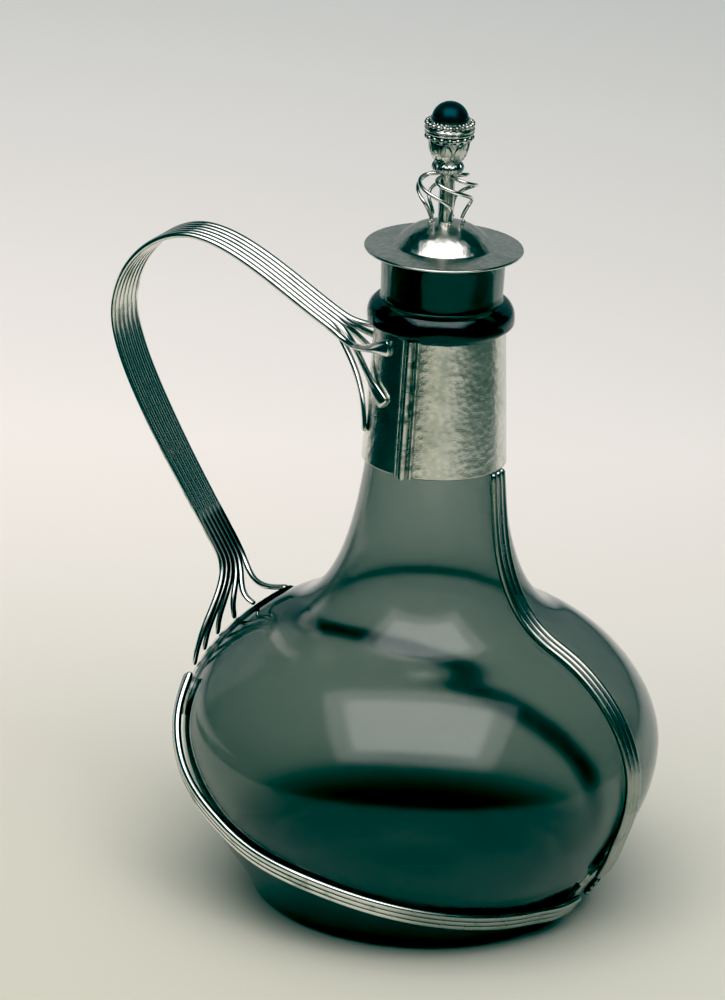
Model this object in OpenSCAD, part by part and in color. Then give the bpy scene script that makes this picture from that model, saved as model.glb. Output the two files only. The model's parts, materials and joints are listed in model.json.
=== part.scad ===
/* [Bottle] */
// Widest radius of the belly
belly_r = 63.5; // [60:0.5:67]
// Height of the widest line above the table
belly_z = 44; // [40:0.5:48]
// Outer radius of the foot
foot_r = 43.6; // [42:0.2:45]
// Inner radius of the flat ring that the foot stands on
foot_ring_r = 38; // [34:0.5:40]
// Rise of the hollow under the foot
punt_h = 4; // [2:0.5:5]
// Thickness of the floor at its middle
floor_t = 4; // [3:0.5:5]
// Radius where the shoulder turns into the neck
shoulder_r = 39; // [37:0.5:42]
// Height of that turn
shoulder_z = 76; // [74:0.5:80]
// Wall of the glass
glass_t = 2.4; // [1.8:0.1:2.8]
// Height of the widest line of the ring round the neck
ring_z = 161.2; // [160.5:0.1:162.5]
// How far that ring stands out from the neck
ring_out = 3.4; // [2.8:0.1:3.8]
// Height of the ring above its widest line
ring_up = 4.6; // [3.6:0.1:5.4]
// Depth of the ring below its widest line
ring_down = 2; // [1.4:0.1:2.2]
// Outer radius of the lip
lip_r = 16.3; // [16:0.1:17]
// Height of the lip
lip_z = 178.9; // [177:0.1:178.9]

/* [Collar] */
// Height of the collar's lower edge
collar_z = 122; // [119:0.5:124]
// Height of the collar itself
collar_h = 36.8; // [34:0.2:37]
// Outer radius at the lower edge
collar_low_r = 19; // [18.6:0.1:19.6]
// Outer radius at the upper edge
collar_top_r = 17.1; // [16.9:0.1:17.4]
// Thickness of the silver sheet
collar_t = 0.6; // [0.5:0.05:0.8]
// Space between the glass and the sheet
collar_gap = 0.6; // [0.5:0.05:0.7]
// Open seam between the two halves
seam_gap = 0.4; // [0.3:0.05:0.6]

/* [Collar hinge] */
// Number of knuckles
knuckle_n = 5; // [3:2:7]
// Outer diameter of a knuckle
knuckle_d = 2; // [1.8:0.1:2.4]
// Gap between two knuckles
knuckle_gap = 0.16; // [0.12:0.02:0.24]
// Width of a leaf, measured from the pin
leaf_w = 2.6; // [2.5:0.1:3.2]
// Thickness of a leaf
leaf_t = 0.4; // [0.3:0.05:0.5]
// Radius of the raised rib along each leaf
rib_r = 0.4; // [0.3:0.05:0.4]
// Length of the top knuckle as a share of the others
top_share = 0.7; // [0.5:0.05:1]
// Diameter of the hinge pin
pin_d = 0.9; // [0.8:0.05:1]
// Radial play of the pin in the knuckles
pin_play = 0.05; // [0.03:0.01:0.08]
// How far the pin shows below the lowest knuckle
pin_tip = 0.5; // [0.3:0.1:0.8]
// Length of the tongue that laps over the far seam
tongue_l = 5; // [4:0.5:7]
// Height of that tongue
tongue_h = 14; // [10:1:20]

/* [Handle] */
// Number of wires in the handle
handle_n = 6; // [6:1:6]
// Diameter of a handle wire
handle_d = 1.7; // [1.5:0.05:1.9]
// Distance between neighbouring handle wires
handle_pitch = 2.05; // [2:0.05:2.2]
// Farthest reach of the handle from the bottle's axis
handle_reach = 92.7; // [88:0.1:98]
// Height of that farthest point
handle_back_z = 146.5; // [142:0.5:150]
// Share by which the handle widens at its farthest point
handle_swell = 0.13; // [0:0.01:0.2]
// Gap between neighbouring handle wires
handle_gap = 0.05; // [0.04:0.01:0.1]
// Width of the flattened wire ends on the collar
paddle_w = 4.8; // [3.6:0.1:5.2]
// Thickness of those flattened ends
paddle_t = 1.2; // [1:0.1:1.4]
// Distance from the axis to the top of the bow
crown_x = 70; // [66:0.5:74]
// Height of the top of the bow
crown_z = 171.6; // [168:0.2:176]
// Distance from the axis to the point where the wires spread to the collar
fork_x = 28.5; // [27:0.5:30]
// Height of that point
fork_z = 153.2; // [151:0.2:154]
// Distance from the axis to the point where the wires spread to the shoulder
fan_x = 59.4; // [57:0.2:62]
// Height of that point
fan_z = 84.4; // [83:0.2:88]

/* [Belt and strap] */
// Diameter of a belt or strap wire
belt_d = 2.05; // [1.8:0.05:2.2]
// Gap between neighbouring belt wires
wire_gap = 0.06; // [0.04:0.01:0.12]
// Gap between the glass and the wires on it
glass_gap = 0.06; // [0.04:0.01:0.2]
// Direction of the strap, counted from the side opposite the handle
strap_az = -4.8; // [-8:0.2:0]
// Thickness of the plates under the wire ends
plate_t = 0.8; // [0.6:0.1:1]
// Half width of the shoulder plate at its middle
plate_half_w = 9; // [8:0.5:10]
// Direction of the place where the belts and the strap meet
joint_az = 0; // [-2:0.5:3]
// Half of the gap between the ends of the two belts, as an angle
joint_gap = 6.5; // [5:0.5:8]

/* [Stopper] */
// Radius of the lid's brim
brim_r = 20.7; // [19:0.1:22]
// Height of the upper edge of the brim
brim_z = 179.6; // [179.6:0.1:180.4]
// Rise of the brim from its edge to the dome
brim_rise = 0.7; // [0.5:0.1:1]
// Radius of the dome on the lid
dome_r = 13.2; // [12:0.1:13.6]
// Height of the dome above the brim
dome_h = 6.4; // [6:0.1:7.2]
// Thickness of the lid's sheet
lid_t = 0.6; // [0.5:0.05:0.7]
// Space between the cork and the bore of the neck
cork_play = 0.3; // [0.2:0.05:0.4]
// Depth to which the cork reaches below the lip
cork_l = 22; // [18:0.5:26]
// Outer radius of the core tube inside the cork
core_r = 9; // [7:0.5:10]
// Wall of the core tube
core_t = 0.6; // [0.5:0.1:1]
// Thickness of the end disc below the cork
end_t = 1.2; // [1:0.1:1.6]
// Radius of the rod that holds the stopper together
rod_r = 1.4; // [1.2:0.1:1.6]

/* [Finial] */
// Radius of the stem
stem_r = 2; // [1.8:0.1:2.4]
// Length of the stem
stem_l = 12.8; // [11.8:0.1:13.4]
// Height of the knop
knop_h = 3.6; // [3.2:0.1:4.2]
// Radius of the knop
knop_r = 4.2; // [3.8:0.1:4.5]
// Height of the cup
cup_h = 7.1; // [6.5:0.1:8]
// Radius of the cup at its top
cup_r = 5.2; // [5:0.1:5.5]
// Height of the moulded band
band_h = 1.9; // [1.6:0.1:2.2]
// Radius of the moulded band
band_r = 6.55; // [6.4:0.05:6.8]
// Number of beads in the upper row
bead_n = 23; // [18:1:24]
// Radius of an upper bead
bead_r = 0.68; // [0.6:0.01:0.7]
// Number of beads in the lower row
low_bead_n = 17; // [14:1:18]
// Radius of a lower bead
low_bead_r = 0.8; // [0.7:0.01:0.85]
// Radius of the stone
stone_r = 4.85; // [4.6:0.05:5]
// Height of the stone's straight side
stone_side = 1.6; // [1.2:0.1:2]
// Wall of the bezel round the stone
bezel_t = 0.32; // [0.25:0.01:0.4]
// Number of twisted wires round the stem
twist_n = 5; // [5:1:5]
// Diameter of a twisted wire
twist_d = 1; // [0.8:0.05:1.1]
// Radius at which the twisted wires bow out
twist_out = 8.4; // [8:0.1:9]
// Radius of the circle on which they stand
twist_foot_r = 4.3; // [4:0.1:4.6]
// Angle through which each twisted wire turns
twist_turn = 124; // [110:2:136]
// Radius of the granule at each foot
granule_r = 0.55; // [0.45:0.05:0.65]

/* [Hidden] */

$fn = 96;
silver = "#c9c9c4";
glass = "#2f5d5b";

// Gap left between two soldered pieces, so that each stays a solid of its own
seat = 0.03;

// ---- Curves ----

function unit(v) = v / norm(v);
function polar(r, a) = [r * cos(a), r * sin(a)];

// Smooth step from 0 where x is 0 to 1 where it is 1
function ramp(x) = let (t = min(max(x, 0), 1)) t * t * (3 - 2 * t);

// Point at share t of a cubic curve with control points p
function bezier(p, t) =
  let (s = 1 - t)
  s * s * s * p[0] + 3 * s * s * t * p[1] + 3 * s * t * t * p[2] + t * t * t * p[3];

// n points along that curve, without its last point
function bezier_run(p, n) = [for (i = [0:n - 1]) bezier(p, i / n)];

// Points on an arc in a profile
function arc(c, rx, ry, from, to, n) =
  [for (i = [0:n]) let (a = from + (to - from) * i / n) c + [rx * cos(a), ry * sin(a)]];

// Smooth value at angle a from heights that are given every 30 degrees
function smooth_key(keys, a) =
  let (
    last = len(keys) - 1,
    f = min(max(a / 30, 0), last - 0.0001),
    i = floor(f),
    t = f - i,
    k0 = keys[max(i - 1, 0)],
    k1 = keys[i],
    k2 = keys[i + 1],
    k3 = keys[min(i + 2, last)]
  )
  k1 + 0.5 * t * (k2 - k0 + t * (2 * k0 - 5 * k1 + 4 * k2 - k3 + t * (3 * (k1 - k2) + k3 - k0)));

// ---- Outline of the bottle ----

collar_top_z = collar_z + collar_h;
collar_slope = (collar_low_r - collar_top_r) / collar_h;
function collar_r(z) = collar_low_r - (z - collar_z) * collar_slope;
function neck_r(z) = collar_r(z) - collar_t - collar_gap;

neck_low_r = neck_r(collar_z);
belly_low = [[foot_r, 0.6], [foot_r + 1.3, 7.5], [belly_r, 24], [belly_r, belly_z]];
shoulder = [shoulder_r, shoulder_z];
shoulder_run = [-14.2, 5.9];
belly_top = [[belly_r, belly_z], [belly_r, belly_z + 13], shoulder - 0.86 * shoulder_run, shoulder];
neck_lead = 24;
neck_swell = 2.6;
neck_flare = [
  shoulder,
  shoulder + shoulder_run,
  [neck_low_r + neck_swell, collar_z - neck_lead],
  [neck_low_r, collar_z]
];
outline = concat(
  bezier_run(belly_low, 14),
  bezier_run(belly_top, 14),
  bezier_run(neck_flare, 14),
  [[neck_low_r, collar_z]]
);

// Length along the outline from the foot to each of its points
function step_after(i) = i < len(outline) - 1 ? norm(outline[i + 1] - outline[i]) : 0;
outline_len = [for (i = 0, s = 0; i < len(outline); s = s + step_after(i), i = i + 1) s];
len_to_r = [for (i = [0:len(outline) - 1]) [outline_len[i], outline[i][0]]];
len_to_z = [for (i = [0:len(outline) - 1]) [outline_len[i], outline[i][1]]];
z_to_len = [for (i = [0:len(outline) - 1]) [outline[i][1], outline_len[i]]];

function outline_at(s) = [lookup(s, len_to_r), lookup(s, len_to_z)];
function outline_normal(s) =
  let (d = unit(outline_at(s + 1.5) - outline_at(s - 1.5)))
  [d[1], -d[0]];

// Point on the glass at angle a and length s, lifted off it by h
function on_glass(a, s, h) =
  let (p = outline_at(s) + h * outline_normal(s))
  [p[0] * cos(a), p[0] * sin(a), p[1]];
function glass_normal(a, s) =
  let (n = outline_normal(s))
  [n[0] * cos(a), n[0] * sin(a), n[1]];

// ---- Wires ----

function tangents(p) =
  let (last = len(p) - 1)
  [for (i = [0:last]) unit(p[min(i + 1, last)] - p[max(i - 1, 0)])];

// A side direction carried along the wire without twisting
function carry(t, n, i = 0) =
  i >= len(t) ? [] : let (m = unit(n - (n * t[i]) * t[i])) concat([m], carry(t, m, i + 1));

// Side directions that follow the hints given for each point
function follow(t, hints) =
  [for (i = [0:len(t) - 1]) unit(hints[i] - (hints[i] * t[i]) * t[i])];

// Round wire of diameter d along the points p, with domed ends. Where shape is given, each
// point has its own [size across, size through], and hints point across the wire
module wire(p, d, sides = 8, hints = [], shape = []) {
  t = tangents(p);
  n = len(hints) > 0 ? follow(t, hints) : carry(t, abs(t[0][2]) < 0.7 ? [0, 0, 1] : [1, 0, 0]);
  last = len(p) - 1;
  dome = [[-0.45, 0.45], [-0.3, 0.8]];
  rings = concat(
    [for (e = dome) [p[0] + e[0] * d * t[0], e[1], 0]],
    [for (i = [0:last]) [p[i], 1, i]],
    [for (e = [dome[1], dome[0]]) [p[last] - e[0] * d * t[last], e[1], last]]
  );
  points = [
    for (r = rings)
      for (j = [0:sides - 1])
        let (
          a = 360 * (j + 0.5) / sides,
          size = r[1] / 2 * (len(shape) > 0 ? shape[r[2]] : [d, d]),
          m = n[r[2]],
          b = cross(t[r[2]], m)
        )
        r[0] + size[0] * cos(a) * m + size[1] * sin(a) * b
  ];
  rows = len(rings);
  skin = [
    for (i = [0:rows - 2])
      for (j = [0:sides - 1])
        let (k = (j + 1) % sides, q = i * sides)
        each [[q + j, q + sides + j, q + sides + k], [q + j, q + sides + k, q + k]]
  ];
  ends = [
    [for (j = [0:sides - 1]) j],
    [for (j = [sides - 1:-1:0]) (rows - 1) * sides + j]
  ];
  polyhedron(points, concat(skin, ends), convexity = 10);
}

// Side step of wire k of a flat band of n wires
function band_step(k, n, pitch) = (k - (n + 1) / 2) * pitch;

// ---- Handle ----

handle_rise = unit([14, 6.6]);
handle_foot_run = unit([9.9, 15.1]);
bow_lead = 12;
back_lead = 15;
handle_up = [
  [fork_x, fork_z],
  [fork_x, fork_z] + 14 * handle_rise,
  [crown_x - bow_lead, crown_z],
  [crown_x, crown_z]
];
handle_bow = [
  [crown_x, crown_z],
  [crown_x + bow_lead, crown_z],
  [handle_reach, handle_back_z + 13.5],
  [handle_reach, handle_back_z]
];
handle_down = [
  [handle_reach, handle_back_z],
  [handle_reach, handle_back_z - back_lead],
  [fan_x, fan_z] + 17 * handle_foot_run,
  [fan_x, fan_z]
];

// Where each wire ends on the collar: angle from the handle's plane, height, slope of its end,
// how far it keeps its direction at the end and at the fork, the share of the way to its end
// at which it bends, how far it dips there, and how far it stands off the collar on the way
fork_ends = [
  [-65.5, 155, -8, 8, 9.5, 0, 2.2, 0.6],
  [-38, 130.5, 86, 12, 5, 0.2, 4.9, 0.2],
  [-65.5, 140.3, 46, 9, 6, 0, 1, 1.2],
  [38, 130.5, 86, 6, 7, 0.2, 0, 0.2],
  [65.5, 140.9, 30, 9, 7, 0.2, 0, 0.6],
  [65.5, 155, -8, 12, 10, 0.4, -1, 0.6]
];

// Where each wire ends on the shoulder: angle, height on the glass, the side it lands from,
// and how far off the glass it comes from there
fan_ends = [
  [-162.5, 56.7, 9, 6], [-166.2, 59.6, 8, 6], [-170.6, 62.6, 6, 6],
  [-174, 66.3, 3, 6], [-175.8, 70.2, -2.5, 5.5], [-178.6, 75.2, -10, 3.2]
];

function polar_dir(a) = [cos(a), sin(a), 0];

function fork_dir(k) =
  let (fork = fork_ends[k - 1], a = 180 - fork[0])
  cos(fork[2]) * (fork[0] < 0 ? 1 : -1) * [-sin(a), cos(a), 0] + sin(fork[2]) * [0, 0, -1];

// The flat band of wires, a little wider towards its farthest point
function pitch_at(x) = handle_pitch * (1 + handle_swell * ramp((x - crown_x + 6) / (handle_reach - crown_x)));
function in_handle(k, q) = [-q[0], band_step(k, handle_n, pitch_at(q[0])), q[1]];

splay_n = 12;
ribbon_n = 32;
fan_n = 11;
fan_lift = glass_gap + plate_t + 4 * seat + handle_d / 2;

function handle_path(k) =
  let (
    start = in_handle(k, [fork_x, fork_z]),
    fork = fork_ends[k - 1],
    fork_a = 180 - fork[0],
    fork_r = collar_r(fork[1]) + paddle_t / 2 + seat,
    fork_tip = concat(polar(fork_r, fork_a), [fork[1]]),
    lead = fork_tip - fork[3] * fork_dir(k) + fork[7] * polar_dir(fork_a),
    bend = fork[4] * [handle_rise[0], 0, -handle_rise[1]] + fork[5] * (lead - start) - fork[6] * [0, 0, 1],
    splay_up = [fork_tip, lead, start + bend, start],
    finish = in_handle(k, [fan_x, fan_z]),
    fan = fan_ends[k - 1],
    fan_s = lookup(fan[1], z_to_len),
    fan_tip = on_glass(fan[0], fan_s, fan_lift),
    splay_down = [
      finish,
      finish + 9 * [handle_foot_run[0], 0, -handle_foot_run[1]],
      on_glass(fan[0], fan_s + fan[2], fan_lift + fan[3]),
      fan_tip
    ]
  )
  concat(
    bezier_run(splay_up, splay_n),
    [for (q = bezier_run(handle_up, 8)) in_handle(k, q)],
    [for (q = bezier_run(handle_bow, 12)) in_handle(k, q)],
    [for (q = bezier_run(handle_down, 12)) in_handle(k, q)],
    bezier_run(splay_down, fan_n),
    [fan_tip]
  );

// Direction across each wire: level on the collar, across the handle in between
function handle_hints(k) =
  let (
    fork_a = 180 - fork_ends[k - 1][0],
    fan_a = fan_ends[k - 1][0],
    on_collar = cross(fork_dir(k), polar_dir(fork_a)),
    collar_side = on_collar * (on_collar[1] > 0 ? 1 : -1),
    fan_side = [-sin(fan_a), cos(fan_a), 0],
    foot_side = fan_side * (fan_side[1] > 0 ? 1 : -1)
  )
  [
    for (i = [0:splay_n + ribbon_n + fan_n])
      let (up = ramp(i / splay_n), down = ramp((i - splay_n - ribbon_n) / fan_n))
      (1 - up) * collar_side + (up - down) * [0, 1, 0] + down * foot_side
  ];

function handle_shape(p) = [
  for (i = [0:splay_n + ribbon_n + fan_n])
    let (
      paddle = pow(max(1 - i / 6, 0), 1.3),
      toe = ramp((i - splay_n - ribbon_n - fan_n + 4) / 4),
      in_band = ramp(3 * i / splay_n - 2) * ramp((splay_n + ribbon_n + 5 - i) / 6),
      wide = pitch_at(-p[i][0]) - handle_gap - handle_d
    )
    [
      handle_d + (paddle_w - handle_d) * paddle + wide * in_band + 0.5 * toe,
      handle_d + (paddle_t - handle_d) * paddle - 0.4 * toe
    ]
];

module handle_wire(k) {
  p = handle_path(k);
  color(silver) wire(p, handle_d, 8, handle_hints(k), handle_shape(p));
}

// ---- Belts, strap and plates ----

belt_pitch = belt_d + wire_gap;
belt_lift = glass_gap + belt_d / 2;
plate_lift = plate_t + 4 * seat;

// Heights of the two belts on the glass, every 30 degrees from the strap to the handle
front_heights = [8.1, 9.4, 13.6, 20.2, 27.2, 46.5, 90];
back_heights = [8.6, 11.4, 21.6, 30, 40.5, 54.5, 75];
front_from = 156.5;
back_from = 149;

function belt_height(a) = smooth_key(a < 0 ? front_heights : back_heights, abs(a));

function belt_centre(a) =
  let (on_plate = max(ramp((abs(a) - 122) / 18), ramp((26 - abs(a - joint_az)) / 12)))
  on_glass(a, lookup(belt_height(a), z_to_len), belt_lift + on_plate * plate_lift);

function belt_path(side, k) = [
  for (i = [0:40])
    let (
      from = side < 0 ? -front_from : back_from,
      to = joint_az + side * joint_gap,
      a = from + (to - from) * i / 40,
      along = unit(belt_centre(a - side) - belt_centre(a + side)),
      out = glass_normal(a, lookup(belt_height(a), z_to_len))
    )
    belt_centre(a) + side * band_step(k, 3, belt_pitch) * unit(cross(out, along))
];

module belt_wire(side, k) {
  color(silver) wire(belt_path(side, k), belt_d);
}

// Direction of the strap, every 24 mm up from the foot
strap_turns = [4.8, 1.3, -0.2, 0, -0.4, -2, 1.8];
strap_low_s = 20.5;
strap_high_s = outline_len[len(outline) - 1] - 0.5 * belt_d - 0.4;
function strap_path(k) = [
  for (i = [0:34])
    let (
      s = strap_high_s + (strap_low_s - strap_high_s) * i / 34,
      on_plate = ramp((strap_low_s + 12 - s) / 9),
      r = outline_at(s)[0],
      a = strap_az + smooth_key(strap_turns, s / 24 * 30) + band_step(k, 3, belt_pitch) / r * 180 / PI
    )
    on_glass(a, s, belt_lift + on_plate * plate_lift)
];

module strap_wire(k) {
  color(silver) wire(strap_path(k), belt_d);
}

// Closed curved sheet of thickness t on the glass, from a grid of [angle, length, lift] rows
module glass_sheet(grid, t) {
  rows = len(grid);
  cols = len(grid[0]);
  count = rows * cols;
  points = [
    for (h = [0, t])
      for (row = grid)
        for (q = row)
          on_glass(q[0], q[1], q[2] + h)
  ];
  flat = [
    for (i = [0:rows - 2])
      for (j = [0:cols - 2])
        let (a = i * cols + j, b = a + 1, c = a + cols, d = c + 1)
        each [[a, b, d], [a, d, c], [count + a, count + d, count + b], [count + a, count + c, count + d]]
  ];
  rim = concat(
    [for (j = [0:cols - 1]) j],
    [for (i = [1:rows - 1]) i * cols + cols - 1],
    [for (j = [cols - 2:-1:0]) (rows - 1) * cols + j],
    [for (i = [rows - 2:-1:1]) i * cols]
  );
  edge = [
    for (i = [0:len(rim) - 1])
      let (a = rim[i], b = rim[(i + 1) % len(rim)])
      each [[a, count + a, count + b], [a, count + b, b]]
  ];
  polyhedron(points, concat(flat, edge), convexity = 6);
}

// Leaf-shaped plate that the handle is soldered to, with a belt on each of its tips
plate_mid_az = 176.5;
plate_span = 31;
plate_mid_z = 67;
plate_drop = 14.5;
plate_slant = 2.5;
plate_tip_half = 1.55 * belt_pitch;
module shoulder_plate() {
  grid = [
    for (i = [0:22])
      let (
        x = i / 11 - 1,
        s = lookup(plate_mid_z - plate_drop * x * x - plate_slant * x, z_to_len),
        half = plate_tip_half + (plate_half_w - plate_tip_half) * pow(cos(90 * x), 1.3)
      )
      [for (j = [-3:3]) [plate_mid_az + plate_span * x, s + half * j / 3, glass_gap + seat]]
  ];
  color(silver) glass_sheet(grid, plate_t);
}

// Saddle plate where both belts and the strap meet
module joint_plate() {
  low = 4.5;
  high = strap_low_s + 3;
  grid = [
    for (i = [0:5])
      let (
        x = i / 5,
        half = 14 - 9 * ramp(x * 1.2),
        mid = joint_az + (strap_az + 2 - joint_az) * x
      )
      [for (j = [-5:5]) [mid + half * j / 5, low + (high - low) * x, glass_gap]]
  ];
  color(silver) glass_sheet(grid, plate_t);
}

// Thin tab behind the collar that holds the head of the strap
module strap_tab() {
  tab_t = collar_gap - 0.3;
  low = collar_z + 0.4;
  high = collar_z + 12;
  color(silver)
    intersection() {
      rotate_extrude()
        polygon([
          [neck_r(low) + 0.15, low], [neck_r(low) + 0.15 + tab_t, low],
          [neck_r(high) + 0.15 + tab_t, high], [neck_r(high) + 0.15, high]
        ]);
      rotate([0, 0, strap_az])
        translate([0, -3.2, low])
          cube([collar_low_r + 5, 6.4, high - low]);
    }
}

// ---- Glass ----

bore_r = neck_r(collar_top_z) - glass_t;

module glass_bottle() {
  inner_from = 6;
  last = len(outline) - 1;
  inner = [
    for (i = [inner_from:last])
      let (s = outline_len[i])
      outline_at(s) - glass_t * outline_normal(s)
  ];
  floor_z = punt_h + floor_t;
  wall_foot = inner[0];
  inner_floor = [
    [0, floor_z + 0.4],
    [11, floor_z],
    [wall_foot[0] - 14, 3.2],
    wall_foot
  ];
  neck_top = neck_r(collar_top_z);
  ring_c = ring_z;
  ring_r = neck_top + ring_out;
  underside = ring_c - ring_down;
  color(glass, 0.5)
    rotate_extrude()
      polygon(concat(
        [[0, punt_h], [10, punt_h - 0.3], [24, punt_h * 0.6], [foot_ring_r - 3, 0.7], [foot_ring_r, 0]],
        [[foot_r - 0.7, 0]],
        outline,
        [[neck_r(underside), underside], [ring_r - 0.9, underside]],
        arc([ring_r - 0.9, ring_c - 0.9], 0.9, ring_down - 0.9, -60, 0, 4),
        arc([neck_top - 0.4, ring_c], ring_out + 0.4, ring_up, 0, 84, 9),
        [[lip_r - 0.25, ring_c + ring_up + 7], [lip_r, lip_z - glass_t / 2]],
        arc([lip_r - glass_t / 2, lip_z - glass_t / 2], glass_t / 2, glass_t / 2, 0, 180, 8),
        [[bore_r, lip_z - glass_t - 2], [bore_r, collar_top_z - 2]],
        [for (i = [len(inner) - 1:-1:0]) inner[i]],
        [for (i = [11:-1:0]) bezier(inner_floor, i / 12)]
      ));
}

// ---- Collar ----

hinge_axis_r = collar_low_r + knuckle_d / 2 + seat;
hinge_tilt = atan(collar_slope);
knuckle_run = collar_h / cos(hinge_tilt);
knuckle_l = (knuckle_run - (knuckle_n - 1) * knuckle_gap) / (knuckle_n - 1 + top_share);
hinge_gap_half = knuckle_d / 2 + 0.15;

module collar_shell() {
  rotate_extrude()
    polygon([
      [collar_low_r - collar_t, collar_z], [collar_low_r, collar_z],
      [collar_top_r, collar_top_z], [collar_top_r - collar_t, collar_top_z]
    ]);
}

module collar_half(side) {
  color(silver)
    intersection() {
      collar_shell();
      translate([side > 0 ? seam_gap / 2 : -collar_low_r - 1 - seam_gap / 2, -collar_low_r - 1, collar_z - 1])
        cube([collar_low_r + 1, 2 * collar_low_r + 2, collar_h + 2]);
    }
}

// Frame of the hinge: its own z runs up the leaning pin line
module at_hinge() {
  translate([0, -hinge_axis_r, collar_z])
    rotate([-hinge_tilt, 0, 0])
      children();
}

function knuckle_z(i) = (i - 1) * (knuckle_l + knuckle_gap);
function knuckle_len(i) = i < knuckle_n ? knuckle_l : knuckle_l * top_share;
function is_rear(i) = i % 2 == 0;

module hinge_knuckle(i) {
  color(silver)
    at_hinge()
      translate([0, 0, knuckle_z(i)])
        difference() {
          cylinder(h = knuckle_len(i), d = knuckle_d, $fn = 48);
          translate([0, 0, -1])
            cylinder(h = knuckle_len(i) + 2, r = pin_d / 2 + pin_play, $fn = 48);
        }
}

module hinge_leaf(side) {
  mid = knuckle_d / 2 - leaf_t;
  color(silver)
    at_hinge()
      difference() {
        union() {
          translate([side > 0 ? seam_gap / 2 : -leaf_w, mid, 0])
            cube([leaf_w - seam_gap / 2, leaf_t, knuckle_run]);
          translate([side * (leaf_w - rib_r - 0.1), mid, 0])
            cylinder(h = knuckle_run, r = rib_r, $fn = 48);
        }
        cylinder(h = 3 * knuckle_run, d = knuckle_d + 2 * seat, center = true, $fn = 48);
        for (i = [1:knuckle_n])
          if (is_rear(i) == (side > 0))
            translate([-hinge_gap_half, -2, knuckle_z(i) - knuckle_gap])
              cube([2 * hinge_gap_half, 4, knuckle_len(i) + 2 * knuckle_gap]);
      }
}

module hinge_pin() {
  color(silver)
    at_hinge()
      translate([0, 0, -pin_tip])
        cylinder(h = knuckle_run + pin_tip, d = pin_d, $fn = 48);
}

// Tongue on the front half that laps over the seam on the hidden side
module closing_tongue() {
  mid = collar_z + collar_h / 2;
  low = mid - tongue_h / 2;
  high = mid + tongue_h / 2;
  lap = seat;
  color(silver)
    intersection() {
      rotate_extrude()
        polygon([
          [collar_r(low) + lap, low], [collar_r(low) + lap + leaf_t, low],
          [collar_r(high) + lap + leaf_t, high], [collar_r(high) + lap, high]
        ]);
      translate([-tongue_l * 0.6, 0, low])
        cube([tongue_l * 1.6, collar_low_r + 3, tongue_h]);
    }
}

// ---- Stopper ----

dome_top_z = brim_z + brim_rise + dome_h;
dome_curve = [
  [dome_r, brim_z + brim_rise],
  [dome_r - 2, brim_z + brim_rise + 1.5],
  [dome_r - 3, dome_top_z - 1.4],
  [rod_r + 0.6, dome_top_z]
];

function lid_point(t) = bezier(dome_curve, t);
function lid_normal(t) =
  let (d = unit(lid_point(t + 0.01) - lid_point(t - 0.01)))
  [d[1], -d[0]];
lid_steps = 16;

module lid() {
  hole = rod_r + 0.05;
  upper = [for (i = [0:lid_steps]) lid_point(i / lid_steps)];
  lower = [for (i = [lid_steps:-1:0]) lid_point(i / lid_steps) - lid_t * lid_normal(i / lid_steps)];
  color(silver)
    rotate_extrude()
      polygon(concat(
        [[brim_r - 0.15, brim_z - lid_t], [brim_r, brim_z - lid_t / 2], [brim_r - 0.15, brim_z]],
        upper,
        [[hole, dome_top_z], [hole, dome_top_z - lid_t]],
        lower
      ));
}

flange_r = dome_r - 0.5;
flange_t = 0.5;
flange_z = brim_z + brim_rise - lid_t - seat - flange_t;
cork_top = flange_z - seat;
cork_low = lip_z - cork_l;
rod_hole = rod_r + 0.05;

module core_tube() {
  color(silver)
    difference() {
      union() {
        translate([0, 0, flange_z]) cylinder(h = flange_t, r = flange_r);
        translate([0, 0, cork_low]) cylinder(h = flange_z - cork_low + flange_t / 2, r = core_r);
      }
      translate([0, 0, cork_low - 1]) cylinder(h = flange_z - cork_low + 1, r = core_r - core_t);
      translate([0, 0, flange_z - 1]) cylinder(h = 3, r = rod_hole);
    }
}

module cork_sleeve() {
  cork_r = bore_r - cork_play;
  color("#8a6a48")
    rotate_extrude()
      polygon([
        [core_r + seat, cork_low], [cork_r - 1, cork_low], [cork_r - 0.3, cork_low + 0.7],
        [cork_r, cork_low + 6], [cork_r, cork_top], [core_r + seat, cork_top]
      ]);
}

module end_disc() {
  disc_r = bore_r - cork_play - 1.2;
  top = cork_low - seat;
  color(silver)
    rotate_extrude()
      polygon([
        [rod_hole, top - end_t], [disc_r - 0.5, top - end_t], [disc_r, top - end_t + 0.5],
        [disc_r, top], [rod_hole, top]
      ]);
}

nut_h = 1.8;
nut_top = cork_low - 2 * seat - end_t;
module end_nut() {
  color(silver)
    translate([0, 0, nut_top - nut_h])
      difference() {
        cylinder(h = nut_h, r = 2.4 * rod_r, $fn = 6);
        translate([0, 0, -1]) cylinder(h = nut_h + 2, r = rod_hole);
      }
}

stem_z = dome_top_z + seat;
knop_z = stem_z + stem_l;
cup_z = knop_z + knop_h + seat;
cup_top = cup_z + cup_h;
tenon_r = 1.3;

module stem_rod() {
  color(silver) {
    union() {
      translate([0, 0, nut_top - nut_h - 0.6])
        cylinder(h = stem_z - nut_top + nut_h + 1.6, r = rod_r);
      translate([0, 0, stem_z])
        cylinder(h = stem_l - seat, r = stem_r);
      translate([0, 0, stem_z + 1])
        cylinder(h = stem_l + knop_h + 2, r = tenon_r);
    }
  }
}

module knop() {
  hole = tenon_r + 0.04;
  waist = 2.4;
  half = (knop_h - 0.2) / 2;
  color(silver)
    rotate_extrude()
      polygon(concat(
        [[hole, knop_z], [waist, knop_z]],
        arc([waist, knop_z + half], knop_r - waist, half, -80, 50, 10),
        [[3.5, knop_z + knop_h - 0.2], [3.4, knop_z + knop_h], [hole, knop_z + knop_h]]
      ));
}

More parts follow.
